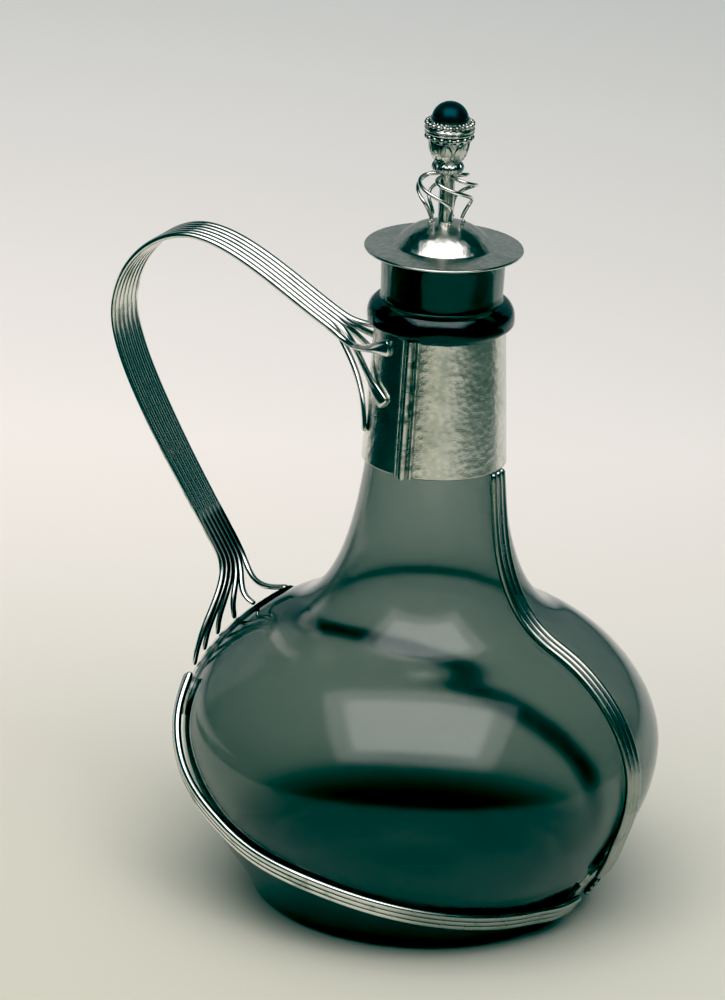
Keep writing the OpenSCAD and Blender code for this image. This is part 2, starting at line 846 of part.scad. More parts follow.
low_bead_z = cup_top - low_bead_r;
module cup() {
  hole = tenon_r + 0.04;
  waist = cup_top - 2 * low_bead_r - 0.2;
  side = [[3.8, cup_z], [4.9, cup_z + 1], [cup_r + 0.3, cup_z + 3.6], [cup_r + 0.2, waist]];
  neck = cup_r - 0.35;
  color(silver)
    rotate_extrude()
      polygon(concat(
        [[hole, cup_z], [3.4, cup_z]],
        bezier_run(side, 10),
        [[cup_r + 0.2, waist], [neck, waist + 0.15], [neck, cup_top], [0, cup_top]],
        [[0, cup_z + 4], [hole, cup_z + 4]]
      ));
}

// Ring of beads on a thin core
module bead_ring(n, r, ring, z) {
  translate([0, 0, z]) {
    rotate_extrude() translate([ring, 0]) circle(r = r * 0.45, $fn = 24);
    for (i = [0:n - 1])
      rotate([0, 0, 360 * i / n])
        translate([ring, 0, 0])
          sphere(r = r, $fn = 24);
  }
}

module lower_bead_ring() {
  color(silver) bead_ring(low_bead_n, low_bead_r, cup_r - 0.35 + low_bead_r + seat, low_bead_z);
}

band_z = cup_top + seat;
band_top = band_z + band_h;
module moulded_band() {
  color(silver)
    rotate_extrude()
      polygon(concat(
        [[0, band_z], [cup_r + 0.5, band_z]],
        arc([band_r - 0.5, band_z + 0.45], 0.4, 0.35, -90, 90, 4),
        arc([band_r - 0.45, band_z + 1.3], 0.45, 0.4, -80, 90, 5),
        [[band_r - 0.6, band_top], [0, band_top]]
      ));
}

module upper_bead_ring() {
  color(silver) bead_ring(bead_n, bead_r, stone_r + bezel_t + 2 * seat + bead_r, band_top + bead_r + seat);
}

bezel_z = band_top + seat;
module bezel() {
  inner = stone_r + seat;
  top = bezel_z + stone_side + 0.5;
  color(silver)
    rotate_extrude()
      polygon([
        [inner, bezel_z], [inner + bezel_t, bezel_z],
        [inner + bezel_t, top - 0.5], [inner + bezel_t - 0.12, top], [inner, top]
      ]);
}

module cabochon() {
  color("#0d2f33")
    translate([0, 0, bezel_z])
      rotate_extrude()
        polygon(concat(
          [[0, 0], [stone_r, 0]],
          arc([0, stone_side], stone_r, stone_r * 0.98, 0, 90, 16)
        ));
}

// Direction in which the first twisted wire stands
twist_az = 21;
function twist_dir(k) = twist_az + 360 / twist_n * (k - 1);

// Place on the dome at radius r, lifted off it by h
function on_dome(r, h) =
  let (
    share = [for (i = [0:lid_steps]) [-lid_point(i / lid_steps)[0], i / lid_steps]],
    t = lookup(-r, share)
  )
  lid_point(t) + h * lid_normal(t);

// Wires that bow out round the stem and turn as they come down to the dome
function twist_path(k) =
  let (
    foot = [twist_foot_r, on_dome(twist_foot_r, 0)[1] + 2 * granule_r + twist_d / 2],
    head = [stem_r + seat + twist_d / 2, knop_z - twist_d / 2 - 3 * seat],
    side = [
      head + [0.2, 0],
      [twist_out * 1.46, head[1] - 0.5],
      [twist_out * 0.68, foot[1] + 4.8],
      foot
    ]
  )
  [
    for (i = [0:20])
      let (
        t = i / 20,
        q = bezier(side, t),
        a = twist_dir(k) - twist_turn * (1 - ramp(t / 0.8))
      )
      concat(polar(q[0], a), [q[1]])
  ];

module twist_wire(k) {
  color(silver) wire(twist_path(k), twist_d, 6);
}

module foot_granules() {
  place = on_dome(twist_foot_r + 0.2, granule_r + seat);
  color(silver)
    for (k = [1:twist_n])
      rotate([0, 0, twist_dir(k)])
        translate([place[0], 0, place[1]])
          sphere(r = granule_r, $fn = 24);
}

glass_bottle();
collar_half(-1);  // collar_rear
collar_half(1);  // collar_front
hinge_leaf(-1);  // hinge_leaf_rear
hinge_leaf(1);  // hinge_leaf_front
hinge_knuckle(1);  // hinge_knuckle_1
hinge_knuckle(2);  // hinge_knuckle_2
hinge_knuckle(3);  // hinge_knuckle_3
hinge_knuckle(4);  // hinge_knuckle_4
hinge_knuckle(5);  // hinge_knuckle_5
hinge_pin();
closing_tongue();
handle_wire(1);  // handle_wire_1
handle_wire(2);  // handle_wire_2
handle_wire(3);  // handle_wire_3
handle_wire(4);  // handle_wire_4
handle_wire(5);  // handle_wire_5
handle_wire(6);  // handle_wire_6
shoulder_plate();
belt_wire(-1, 1);  // front_belt_wire_1
belt_wire(-1, 2);  // front_belt_wire_2
belt_wire(-1, 3);  // front_belt_wire_3
belt_wire(1, 1);  // back_belt_wire_1
belt_wire(1, 2);  // back_belt_wire_2
belt_wire(1, 3);  // back_belt_wire_3
strap_wire(1);  // strap_wire_1
strap_wire(2);  // strap_wire_2
strap_wire(3);  // strap_wire_3
strap_tab();
joint_plate();
lid();
core_tube();
cork_sleeve();
end_disc();
end_nut();
stem_rod();
knop();
cup();
lower_bead_ring();
moulded_band();
upper_bead_ring();
bezel();
cabochon();
twist_wire(1);  // twist_wire_1
twist_wire(2);  // twist_wire_2
twist_wire(3);  // twist_wire_3
twist_wire(4);  // twist_wire_4
twist_wire(5);  // twist_wire_5
foot_granules();
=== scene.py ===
# %% [markdown]
# A claret jug is a bottle for red wine with silver round it. Here the bottle is smoky green glass. Six
# silver wires make the handle, three wires run round the belly and three more run down the far side. The
# construction model comes in first, in metres and in its own frame, and everything below is placed from
# it.

# %% The construction model
import json
import math

import bmesh
import bpy
from mathutils import Matrix, Vector, noise


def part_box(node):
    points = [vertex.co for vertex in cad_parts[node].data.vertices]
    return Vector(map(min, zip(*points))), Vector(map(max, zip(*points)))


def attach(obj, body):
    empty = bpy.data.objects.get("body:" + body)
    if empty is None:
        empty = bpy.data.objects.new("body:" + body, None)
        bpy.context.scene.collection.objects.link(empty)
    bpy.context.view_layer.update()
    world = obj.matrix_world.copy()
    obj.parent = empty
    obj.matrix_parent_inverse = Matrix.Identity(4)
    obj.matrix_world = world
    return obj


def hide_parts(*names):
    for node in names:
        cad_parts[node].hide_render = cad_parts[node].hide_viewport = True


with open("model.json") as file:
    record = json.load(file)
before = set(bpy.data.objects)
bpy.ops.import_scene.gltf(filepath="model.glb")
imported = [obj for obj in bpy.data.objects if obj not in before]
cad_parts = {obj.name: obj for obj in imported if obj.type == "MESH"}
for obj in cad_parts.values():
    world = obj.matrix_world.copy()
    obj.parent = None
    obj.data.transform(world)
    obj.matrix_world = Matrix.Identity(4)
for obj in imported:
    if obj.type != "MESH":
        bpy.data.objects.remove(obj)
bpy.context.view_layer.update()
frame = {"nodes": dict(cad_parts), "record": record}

MM = 0.001
print("pieces in the construction model:", len(frame["nodes"]))

# %% [markdown]
# Blender's usual view squeezes bright tones. Silver in a studio photograph has clipped white lines next
# to black ones, so the plain view, which keeps tones as they are, suits it better. The film of the
# photograph also lost red in its dark tones and gained a little in its light ones. The black and white
# levels of the red curve do the same.

# %% The view
FILM_BLACK = (0.038, 0.007, 0.008)
FILM_WHITE = (0.96, 1.0, 1.0)

view = bpy.context.scene.view_settings
view.view_transform = "Standard"
view.look = "None"
view.use_curve_mapping = True
view.curve_mapping.black_level = FILM_BLACK
view.curve_mapping.white_level = FILM_WHITE
view.curve_mapping.update()
print("view:", view.view_transform, "black level:", FILM_BLACK, "white level:", FILM_WHITE)

# %% [markdown]
# Materials are node trees. Wiring them link by link is hard to read, so a small class wraps one output
# socket and gives it the arithmetic signs. An expression such as 1 - mask * 0.3 then adds its own Math
# nodes.

# %% Shader values that can be calculated with


class Value:
    """One output of a shader node, which can be added, multiplied and compared."""

    def __init__(self, finish, socket):
        self.finish = finish
        self.socket = socket

    def math(self, operation, *others):
        return self.finish.add("ShaderNodeMath", {"operation": operation}, dict(enumerate(others)))

    def __add__(self, other):
        return self.math("ADD", self, other)

    def __sub__(self, other):
        return self.math("SUBTRACT", self, other)

    def __mul__(self, other):
        return self.math("MULTIPLY", self, other)

    def __truediv__(self, other):
        return self.math("DIVIDE", self, other)

    def __rsub__(self, other):
        return self.math("SUBTRACT", other, self)

    __radd__ = __add__
    __rmul__ = __mul__

    def above(self, low, high):
        """0 below low, 1 above high, and a smooth step between them."""
        settings = {"interpolation_type": "SMOOTHSTEP"}
        return self.finish.add("ShaderNodeMapRange", settings, {0: self, 1: low, 2: high})


class Finish:
    """A material that is built up node by node."""

    def __init__(self, name):
        self.material = bpy.data.materials.new(name)
        self.material.use_nodes = True
        self.tree = self.material.node_tree
        self.tree.nodes.clear()

    def add(self, kind, settings=None, inputs=None, output=0):
        """Adds a node, makes its settings, then feeds its inputs with numbers, colours or values."""
        node = self.tree.nodes.new(kind)
        for name, setting in (settings or {}).items():
            if name == "stops":
                self.fill_ramp(node.color_ramp, setting)
            else:
                setattr(node, name, setting)
        for key, value in (inputs or {}).items():
            if isinstance(value, Value):
                self.tree.links.new(value.socket, node.inputs[key])
            else:
                node.inputs[key].default_value = value
        return Value(self, node.outputs[output])

    def fill_ramp(self, ramp, stops):
        while len(ramp.elements) < len(stops):
            ramp.elements.new(1)
        for element, (place, colour) in zip(ramp.elements, stops):
            element.position = place
            element.color = (*colour, 1)

    def place(self):
        """Where a point lies on the jug, in metres. Every piece sits at the origin, so all of them agree."""
        return self.add("ShaderNodeTexCoord", output="Object")

    def noise(self, scale, detail=2.0):
        inputs = {"Vector": self.place(), "Scale": scale, "Detail": detail}
        return self.add("ShaderNodeTexNoise", None, inputs)

    def mix(self, share, low, high):
        """A colour between low and high."""
        colours = {"Factor": share, 6: low, 7: high}
        return self.add("ShaderNodeMix", {"data_type": "RGBA"}, colours, output=2)

    def bump(self, height, distance, strength=1.0):
        inputs = {"Strength": strength, "Distance": distance, "Height": height}
        return self.add("ShaderNodeBump", None, inputs)

    def surface(self, **inputs):
        """The finished surface. Spaces in the socket names are written as underscores."""
        named = {key.replace("_", " "): value for key, value in inputs.items()}
        shader = self.add("ShaderNodeBsdfPrincipled", None, named)
        output = self.add_output()
        self.tree.links.new(shader.socket, output.inputs["Surface"])
        return self

    def add_output(self):
        found = [node for node in self.tree.nodes if node.type == "OUTPUT_MATERIAL"]
        return found[0] if found else self.tree.nodes.new("ShaderNodeOutputMaterial")


print("shader helpers ready")

# %% [markdown]
# The wires are drawn silver, polished and then handled for a century. Drawn wire is never quite even, so
# the roughness wanders in patches and the colour is a little warmer where polish no longer reaches. A
# hand on the handle keeps the silver there bright. The wires on the far side are touched less, so they
# are greyer.

# %% Wire silver
BELLY_MIDDLE = (0.0, 0.0, 44 * MM)
BELLY_REACH = 84 * MM
BELLY_FADE = 4 * MM
FACING_FADE = 0.35
# The colour of the painted shade on the silver faces that lie against the glass.
PAINTED_SHADE_AGAINST_GLASS = (0.004, 0.012, 0.012, 1)
HANDLED_TO = 12 * MM
UNTOUCHED_FROM = 26 * MM


def painted_shade_against_glass(finish):
    """1 on the faces that lie against the glass, where the silver gets painted shade, and 0 on all others."""
    vector_math = "ShaderNodeVectorMath"
    outward = finish.add(vector_math, {"operation": "SUBTRACT"}, {0: finish.place(), 1: BELLY_MIDDLE})
    distance = finish.add(vector_math, {"operation": "LENGTH"}, {0: outward}, output=1)
    direction = finish.add(vector_math, {"operation": "NORMALIZE"}, {0: outward})
    facing = finish.add("ShaderNodeNewGeometry", output=1)
    turned_out = finish.add(vector_math, {"operation": "DOT_PRODUCT"}, {0: facing, 1: direction}, output=1)
    near = (BELLY_REACH - distance).above(0.0, BELLY_FADE)
    return (0.0 - turned_out).above(0.0, FACING_FADE) * near


def wire_silver():
    finish = Finish("wire_silver")
    patches = finish.noise(180.0, 3.0)
    fine = finish.noise(2600.0, 2.0)
    tarnish = patches.above(0.50, 0.72)
    # black is painted shade on the faces that lie against the glass.
    black = painted_shade_against_glass(finish)
    across = finish.add("ShaderNodeSeparateXYZ", None, {0: finish.place()})
    untouched = across.above(HANDLED_TO, UNTOUCHED_FROM)
    polished = finish.mix(tarnish, (0.86, 0.85, 0.81, 1), (0.50, 0.51, 0.46, 1))
    worn = finish.mix(untouched * 0.8, polished, (0.24, 0.25, 0.22, 1))
    colour = finish.mix(black, worn, PAINTED_SHADE_AGAINST_GLASS)
    normal = finish.bump(fine, 0.00004, 0.15)
    roughness = 0.13 + tarnish * 0.12 + untouched * 0.08 + fine * 0.04 + black * 0.5
    return finish.surface(Base_Color=colour, Metallic=1.0, Roughness=roughness, Normal=normal).material


# %% [markdown]
# Cast and turned silver is darker than wire, and its tarnish lies in patches.

# %% Turned silver


def turned_silver():
    finish = Finish("turned_silver")
    patches = finish.noise(420.0, 3.0)
    tarnish = patches.above(0.40, 0.66)
    # black is painted shade on the faces that lie against the glass.
    black = painted_shade_against_glass(finish)
    polished = finish.mix(tarnish, (0.66, 0.66, 0.62, 1), (0.24, 0.25, 0.23, 1))
    colour = finish.mix(black, polished, PAINTED_SHADE_AGAINST_GLASS)
    normal = finish.bump(finish.noise(3000.0), 0.00004, 0.4)
    roughness = 0.17 + tarnish * 0.12 + black * 0.5
    return finish.surface(Base_Color=colour, Metallic=1.0, Roughness=roughness, Normal=normal).material


# %% [markdown]
# The collar and the lid are hammered sheet. The hammer marks themselves are modelled further down. What
# is left for the finish is the grain that the hammer's face leaves, and the duller silver in the hollows
# between the marks.

# %% Hammered silver


def hammered_silver():
    finish = Finish("hammered_silver")
    grain = finish.noise(2600.0, 4.0)
    patches = finish.noise(150.0, 3.0).above(0.42, 0.70)
    settings = {"feature": "SMOOTH_F1"}
    hollows = finish.add("ShaderNodeTexVoronoi", settings, {"Vector": finish.place(), "Scale": 700.0})
    dull = patches * 0.5 + (hollows + grain * 0.6).above(0.35, 0.95) * 0.5
    colour = finish.mix(dull, (0.80, 0.79, 0.74, 1), (0.52, 0.53, 0.48, 1))
    normal = finish.bump(grain, 0.00005, 0.8)
    roughness = 0.13 + grain * 0.10
    return finish.surface(Base_Color=colour, Metallic=1.0, Roughness=roughness, Normal=normal).material


# %% [markdown]
# The glass is smoky in the thin wall and nearly black in the thick foot. Colour in the shader's surface
# can't do that, but absorption can: light that travels farther in the glass loses more, and most of all
# its red. Blown glass is never quite even, so a slow bump sways what is seen through it.

# %% Smoky green glass


def smoky_glass():
    finish = Finish("smoky_glass")
    sway = finish.noise(28.0, 2.0)
    normal = finish.bump(sway, 0.0006, 0.35)
    finish.surface(
        Base_Color=(0.96, 0.97, 0.96, 1), Roughness=0.11, IOR=1.5, Transmission_Weight=1.0, Normal=normal
    )
    loss = {"Color": (0.24, 0.30, 0.26, 1), "Density": 400.0}
    volume = finish.add("ShaderNodeVolumeAbsorption", None, loss)
    finish.tree.links.new(volume.socket, finish.add_output().inputs["Volume"])
    return finish.material


# %% [markdown]
# The stone is a polished cabochon, almost black, and its reflections are tinted teal.

# %% Stone and cork


def dark_stone():
    finish = Finish("dark_stone")
    veins = finish.noise(500.0, 4.0)
    colour = finish.mix(veins, (0.001, 0.004, 0.005, 1), (0.002, 0.016, 0.018, 1))
    return finish.surface(
        Base_Color=colour, Roughness=0.24 + veins * 0.05, IOR=1.6, Specular_IOR_Level=0.4,
        Specular_Tint=(0.06, 0.5, 0.62, 1),
    ).material


# The cork is coloured almost black: its own brown is darkened into painted shade for the inside of the neck
# under the lid.
def cork_in_painted_shade():
    finish = Finish("cork_in_painted_shade")
    pores = finish.noise(700.0, 5.0)
    # Painted shade: both of the cork's colours are nearly black.
    colour = finish.mix(pores, (0.003, 0.003, 0.003, 1), (0.016, 0.012, 0.009, 1))
    normal = finish.bump(pores, 0.0003)
    return finish.surface(Base_Color=colour, Roughness=0.85, Specular_IOR_Level=0.1, Normal=normal).material


# %% [markdown]
# The record gives each piece of the construction model a material slot. Each slot has one finish here,
# and the pieces that aren't remodelled below take it straight away.

# %% A finish for every piece
finishes = {
    "bottle_glass": smoky_glass(),
    "silver": turned_silver(),
    "silver_wire": wire_silver(),
    "hammered_silver": hammered_silver(),
    "cork": cork_in_painted_shade(),
    "stone": dark_stone(),
}
slot_of = {part["node"]: part["material_slot"] for part in frame["record"]["subparts"]}
body_of = {node: body for body, nodes in frame["record"]["behaviour"]["bodies"].items() for node in nodes}


def dress(piece, slot):
    piece.data.materials.clear()
    piece.data.materials.append(finishes[slot])


for node, piece in frame["nodes"].items():
    dress(piece, slot_of[node])
print("finishes:", ", ".join(sorted(finishes)))

# %% [markdown]
# A new piece is a mesh made with bmesh, put in the scene as it is, and told which body it moves with and
# which piece of the construction model it stands for. Every new piece goes through one helper, so none is
# forgotten.

# %% From bmesh to a piece


def smooth_faces(mesh):
    for face in mesh.polygons:
        face.use_smooth = True


def make_piece(bm, name, node, levels=0):
    """Turns bm into an object that stands for the node and rides with its body."""
    mesh = bpy.data.meshes.new(name)
    bm.to_mesh(mesh)
    bm.free()
    smooth_faces(mesh)
    piece = bpy.data.objects.new(name, mesh)
    bpy.context.scene.collection.objects.link(piece)
    dress(piece, slot_of[node])
    if levels:
        smoother = piece.modifiers.new("smooth", "SUBSURF")
        smoother.levels = smoother.render_levels = levels
    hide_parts(node)
    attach(piece, body_of[node])
    return piece


def node_mesh(node):
    """A copy of a node's mesh whose loose triangles have been joined up again."""
    bm = bmesh.new()
    bm.from_mesh(frame["nodes"][node].data)
    bmesh.ops.remove_doubles(bm, verts=bm.verts, dist=0.000002)
    return bm


print("piece helper ready")

# %% [markdown]
# In the construction model a wire is a tube with eight flat sides, or six on the finial. A real wire is
# round. The copy is joined into quads, and a Subdivision Surface rounds it. Rounding draws an eight-sided
# tube in by about a tenth of its radius, so the wire is fattened by that much first.

# %% Round wires
BELT_RADIUS = 1.02 * MM
WIRE_RADIUS = {
    "handle_wire": 0.85 * MM, "front_belt_wire": BELT_RADIUS, "back_belt_wire": BELT_RADIUS,
    "strap_wire": BELT_RADIUS, "twist_wire": 0.5 * MM,
}
JOIN_ANGLE = math.radians(60)


def ring_shrink(sides):
    """The share of its radius that a tube keeps when it is subdivided."""
    return (4 + 2 * math.cos(2 * math.pi / sides)) / 6


def round_wire(node, radius, sides, levels):
    bm = node_mesh(node)
    bmesh.ops.join_triangles(
        bm, faces=bm.faces, angle_face_threshold=JOIN_ANGLE, angle_shape_threshold=JOIN_ANGLE
    )
    bm.normal_update()
    swell = radius * (1 / ring_shrink(sides) - 1)
    moved = [vert.co + vert.normal * swell for vert in bm.verts]
    for vert, place in zip(bm.verts, moved):
        vert.co = place
    return make_piece(bm, f"round_{node}", node, levels)


round_wires = 0
for node in sorted(frame["nodes"]):
    family = node.rsplit("_", 1)[0]
    if family in WIRE_RADIUS:
        sides = 6 if family == "twist_wire" else 8
        round_wire(node, WIRE_RADIUS[family], sides, 2)
        round_wires += 1
print("round wires:", round_wires)

# %% [markdown]
# Glass shows every flat facet, because it bends the light behind it. So the bottle is spun again from its
# own outline: the construction model is cut in a plane through the axis, one half of the cut is kept, and
# the spin turns it into 120 slices. A Subdivision Surface then rounds the outline itself. The stone is
# made in the same way.

# %% Turned pieces, spun from their own outline
SLICES = 120
OFF_THE_SEAM = math.radians(1.1)
STRAIGHT = math.radians(0.4)


def half_outline(node):
    """The outline of a turned piece, as edges in the plane y = 0 on the side of +X.

    The piece is turned a little first, so that the plane passes between its corners.
    """
    bm = node_mesh(node)
    bmesh.ops.rotate(bm, verts=bm.verts, cent=(0, 0, 0), matrix=Matrix.Rotation(OFF_THE_SEAM, 3, "Z"))
    everything = bm.verts[:] + bm.edges[:] + bm.faces[:]
    cut = bmesh.ops.bisect_plane(bm, geom=everything, plane_co=(0, 0, 0), plane_no=(0, 1, 0), dist=1e-8)
    kept = {part for part in cut["geom_cut"] if isinstance(part, bmesh.types.BMEdge)}
    bmesh.ops.delete(bm, geom=bm.faces[:], context="FACES_ONLY")
    bmesh.ops.delete(bm, geom=[edge for edge in bm.edges if edge not in kept], context="EDGES")
    far_side = [vert for vert in bm.verts if vert.co.x < -1e-6 or not vert.link_edges]
    bmesh.ops.delete(bm, geom=far_side, context="VERTS")
    bmesh.ops.dissolve_limit(bm, angle_limit=STRAIGHT, verts=bm.verts, edges=bm.edges)
    return bm


def refine(bm, length):
    """Cuts up every edge of an outline that is longer than the given length."""
    cuts = {edge: math.ceil(edge.calc_length() / length) - 1 for edge in bm.edges}
    for edge, count in cuts.items():
        if count:
            bmesh.ops.subdivide_edges(bm, edges=[edge], cuts=count)
    return bm


def spin_outline(bm, slices):
    bmesh.ops.spin(
        bm, geom=bm.verts[:] + bm.edges[:], cent=(0, 0, 0), axis=(0, 0, 1), angle=2 * math.pi, steps=slices,
        use_merge=True,
    )
    bmesh.ops.remove_doubles(bm, verts=bm.verts, dist=0.000001)
    bmesh.ops.recalc_face_normals(bm, faces=bm.faces)
    return bm


outline = half_outline("glass_bottle")
print("points in the bottle's outline:", len(outline.verts))
bottle = make_piece(spin_outline(outline, SLICES), "blown_bottle", "glass_bottle", 1)
stone = make_piece(spin_outline(half_outline("cabochon"), SLICES // 2), "polished_stone", "cabochon", 1)
print("bottle faces:", len(bottle.data.polygons), "stone faces:", len(stone.data.polygons))

# %% [markdown]
# A planishing hammer leaves small overlapping hollows with soft ridges between them. A cell pattern has
# just that shape: the distance to the nearest cell centre, squared, is a hollow with a ridge on the
# cell's border. The marks only ever go inwards, so the sheet stays inside the size that the construction
# model gives it.

# %% Hammer marks
MARK_SIZE = 1.5 * MM
MARK_DEPTH = 0.045 * MM


def mark_depth(place, size=MARK_SIZE):
    """The depth of the hammer marks at a place, from 0 on a ridge to 1 in the middle of a hollow."""
    near = noise.voronoi(place / size)[0][0]
    return 1 - min(near * near * 1.6, 1)


def hammer(bm, depth=MARK_DEPTH, share=lambda place: 1.0):
    """Hammers the whole of a mesh from outside. The share says how strongly it is hammered at each place."""
    bm.normal_update()
    moved = [vert.co - vert.normal * depth * share(vert.co) * mark_depth(vert.co) for vert in bm.verts]
    for vert, place in zip(bm.verts, moved):
        vert.co = place
    return bm


def smooth_step(value):
    value = min(max(value, 0), 1)
    return value * value * (3 - 2 * value)


print("a mark is", round(MARK_SIZE / MM, 2), "mm wide and", round(MARK_DEPTH / MM, 3), "mm deep")

# %% [markdown]
# Each half of the collar starts as one straight line on the hinge's side, leaning as the collar does. It
# is cut into short pieces, spun half a turn round the neck, hammered, and given the thickness of the
# silver. Next to the hinge the rear half was smoothed for its leaf, so the marks fade out there.

# %% The hammered collar
COLLAR_GRAIN = 0.32 * MM
SEAM_MARGIN = 2 * MM
REAR_SMOOTHED = 11 * MM
FRONT_SMOOTHED = 1 * MM
SAME_HEIGHT = 0.02 * MM


def reach(node, height):
    """The widest radius of a node's mesh at a height."""
    spots = [vert.co for vert in frame["nodes"][node].data.vertices if abs(vert.co.z - height) < SAME_HEIGHT]
    return max(math.hypot(spot.x, spot.y) for spot in spots)


def sheet_thickness(node):
    spots = [math.hypot(vert.co.x, vert.co.y) for vert in frame["nodes"][node].data.vertices]
    return reach(node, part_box(node)[1][2]) - min(spots)


def collar_half(node, side):
    low, high = (corner[2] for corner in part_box(node))
    seam = math.asin(min(abs(corner[0]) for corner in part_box(node)) / reach(node, low))
    bm = bmesh.new()
    ends = [bm.verts.new((0, -reach(node, height), height)) for height in (low, high)]
    bm.edges.new(ends)
    refine(bm, COLLAR_GRAIN)
    bmesh.ops.rotate(bm, verts=bm.verts, cent=(0, 0, 0), matrix=Matrix.Rotation(side * seam, 3, "Z"))
    steps = round(math.pi * reach(node, low) / COLLAR_GRAIN)
    bmesh.ops.spin(
        bm, geom=bm.verts[:] + bm.edges[:], cent=(0, 0, 0), axis=(0, 0, 1), angle=side * (math.pi - 2 * seam),
        steps=steps,
    )
    bm.normal_update()
    first = bm.faces[:][0]
    outward = first.calc_center_median() * Vector((1, 1, 0))
    if outward.dot(first.normal) < 0:
        bmesh.ops.reverse_faces(bm, faces=bm.faces)
    smoothed = REAR_SMOOTHED if side < 0 else FRONT_SMOOTHED
    hammer(bm, share=lambda place: smooth_step((abs(place.x) - SEAM_MARGIN) / smoothed) if place.y < 0 else 1)
    piece = make_piece(bm, f"hammered_{node}", node)
    thicker = piece.modifiers.new("thickness", "SOLIDIFY")
    thicker.thickness = sheet_thickness(node)
    thicker.offset = -1
    return piece


for node, side in (("collar_front", 1), ("collar_rear", -1)):
    sheet = collar_half(node, side)
    print(node, "faces:", len(sheet.data.polygons), "thickness:", round(sheet_thickness(node) / MM, 2), "mm")

# %% [markdown]
# The lid is one hammered disc with a dome raised in it. It is spun from the construction model's own
# outline, cut finely enough for the marks, and hammered harder on the dome than on the brim.

# %% The hammered lid
LID_SLICES = 260
LID_GRAIN = 0.5 * MM
BRIM_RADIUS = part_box("lid")[1][0]
BRIM_EDGE = 1.2 * MM
BRIM_SHARE = 0.35
DOME_RADIUS = 12 * MM
DOME_FADE = 2 * MM


def lid_share(place):
    """How strongly the lid is hammered at a place."""
    radius = math.hypot(place.x, place.y)
    dome = 1 - smooth_step((radius - DOME_RADIUS) / DOME_FADE)
    edge = smooth_step((BRIM_RADIUS - radius) / BRIM_EDGE)
    return (BRIM_SHARE + (1 - BRIM_SHARE) * dome) * edge


lid_sheet = spin_outline(refine(half_outline("lid"), LID_GRAIN), LID_SLICES)
lid_piece = make_piece(hammer(lid_sheet, share=lid_share), "hammered_lid", "lid")
print("lid faces:", len(lid_piece.data.polygons))

# %% [markdown]
# The cup and the knop are chased with a ring of upright leaves. On the real piece a leaf is raised by
# sinking the ground round it. The same is done here: each point is moved inwards unless it lies on a
# leaf, and a vein is sunk along the middle of each leaf.

# %% Chased leaves
CHASED_GRAIN = 0.22 * MM
CHASED_SLICES = 230
LEAF_DEPTH = 0.34 * MM
LEAF_HALF_WIDTH = 0.47
LEAF_EDGE = 0.09
VEIN_DEPTH = 0.55
VEIN_WIDTH = 0.07
RIM_DEPTH = 0.3
RIM_WIDTH = 0.06
RIM_PLACE = 0.62
CORE_RADIUS = 2 * MM


def leaf_height(turn, share):
    """The height of the relief where turn runs from -0.5 to 0.5 across a leaf and share runs up it."""
    if not 0 < share < 1:
        return 1
    half = LEAF_HALF_WIDTH * math.sin(math.pi * share ** 0.8) ** 0.6
    leaf = smooth_step((half - abs(turn)) / LEAF_EDGE)
    vein = VEIN_DEPTH * (1 - smooth_step(abs(turn) / VEIN_WIDTH)) * smooth_step(3 * (1 - share))
    rim = RIM_DEPTH * (1 - smooth_step(abs(abs(turn) - half * RIM_PLACE) / RIM_WIDTH))
    return leaf - vein * leaf - rim * leaf


def chase(bm, leaves, low, high, shift):
    """Sinks the ground between a ring of leaves that runs from low to high."""
    for vert in bm.verts:
        radius = math.hypot(vert.co.x, vert.co.y)
        turn = (math.atan2(vert.co.y, vert.co.x) / (2 * math.pi) * leaves + shift) % 1 - 0.5
        sink = LEAF_DEPTH * (1 - leaf_height(turn, (vert.co.z - low) / (high - low)))
        if radius > CORE_RADIUS and low < vert.co.z < high:
            vert.co.x *= 1 - sink / radius
            vert.co.y *= 1 - sink / radius
    return bm


def chased_piece(node, name, leaves, low_share, high_share, shift):
    low, high = (corner[2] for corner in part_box(node))
    bm = spin_outline(refine(half_outline(node), CHASED_GRAIN), CHASED_SLICES)
    chase(bm, leaves, low + low_share * (high - low), low + high_share * (high - low), shift)
    return make_piece(bm, name, node)


chased_cup = chased_piece("cup", "chased_cup", 7, 0.06, 0.74, 0.0)
chased_knop = chased_piece("knop", "chased_knop", 8, 0.02, 0.92, 0.3)
print("cup faces:", len(chased_cup.data.polygons), "knop faces:", len(chased_knop.data.polygons))

# %% [markdown]
# The stage isn't part of the jug: a pale plane of paper, a camera where the photographer stood, and
# lights. A distant camera with a long lens gives the flat perspective of a product photograph.

# %% The camera
CAMERA_AZIMUTH = math.radians(25)
CAMERA_ELEVATION = math.radians(20.52)
CAMERA_ROLL = math.radians(2.5)
CAMERA_DISTANCE = 1.5
AIM_HEIGHT = 0.110
SLIDE_RIGHT = -0.01821
SLIDE_UP = -0.00037
LENS = 205.74

flat = math.cos(CAMERA_ELEVATION)
back = Vector((math.sin(CAMERA_AZIMUTH) * flat, -math.cos(CAMERA_AZIMUTH) * flat, math.sin(CAMERA_ELEVATION)))
level = Vector((math.cos(CAMERA_AZIMUTH), math.sin(CAMERA_AZIMUTH), 0))
upward = back.cross(level)
right = math.cos(CAMERA_ROLL) * level + math.sin(CAMERA_ROLL) * upward
above = math.cos(CAMERA_ROLL) * upward - math.sin(CAMERA_ROLL) * level
camera = bpy.data.objects.new("camera", bpy.data.cameras.new("camera"))
camera.data.sensor_width = 36
camera.data.lens = LENS
turn = Matrix((right, above, back)).transposed().to_4x4()
spot = Vector((0, 0, AIM_HEIGHT)) + CAMERA_DISTANCE * back + SLIDE_RIGHT * right + SLIDE_UP * above
camera.matrix_world = Matrix.Translation(spot) @ turn
bpy.context.scene.collection.objects.link(camera)
bpy.context.scene.camera = camera
